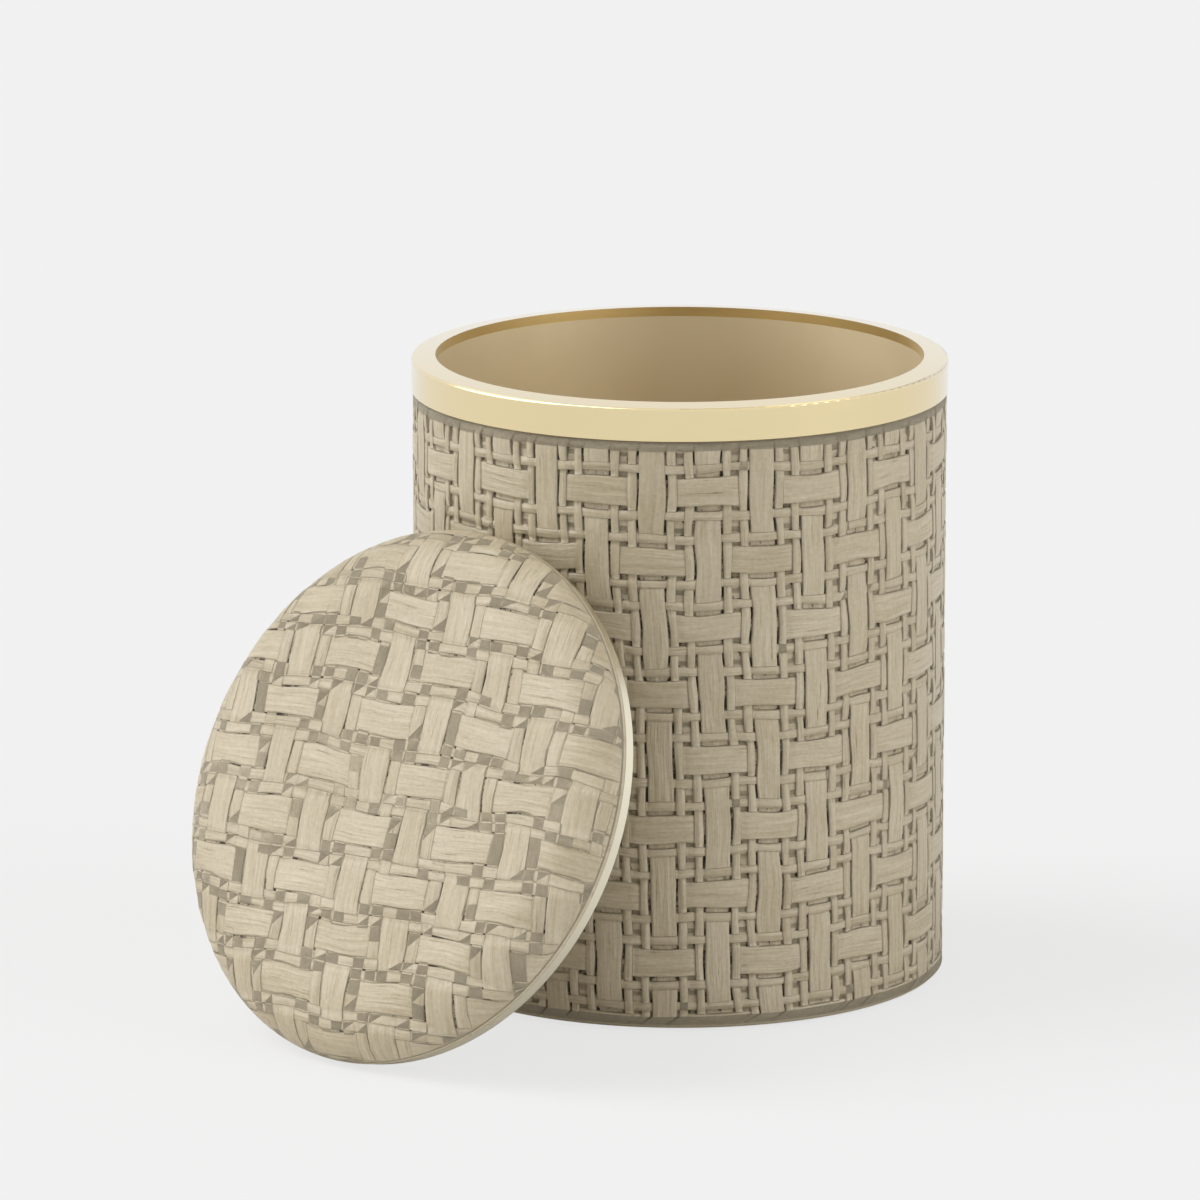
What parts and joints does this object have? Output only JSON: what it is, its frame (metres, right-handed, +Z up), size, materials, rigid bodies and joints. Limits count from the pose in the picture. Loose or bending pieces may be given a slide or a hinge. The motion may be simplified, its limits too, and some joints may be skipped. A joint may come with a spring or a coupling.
{
  "type": "lidded canister",
  "caption": "Round lidded canister with a basket weave relief, a metal rim, a metal-coloured inside and a loose domed lid that leans on its wall.",
  "frame": {"origin": "centre of the foot pad's underside, on the surface that the canister stands on", "axes": "+Z up along the canister's axis; the picture looks along +Y with +X to the right"},
  "size_m": [0.1246, 0.1282, 0.1042],
  "materials": {
    "cast_weave": "cast resin weave relief, brown wash in the gaps, satin",
    "rim_brass": "polished, pale",
    "liner_brass": "satin",
    "foam": "matt foam",
    "lid_weave": "cast resin weave relief, brown wash in the gaps, satin",
    "ring_brass": "polished, pale",
    "cast_plain": "plain cast resin, satin"
  },
  "bodies": {
    "root": {"body_shell": "cast_weave", "rim_collar": "rim_brass", "inner_liner": "liner_brass", "base_pad": "foam", "lid_shell": "lid_weave", "lid_ring": "ring_brass", "lid_boss": "cast_plain"}
  },
  "joints": []
}
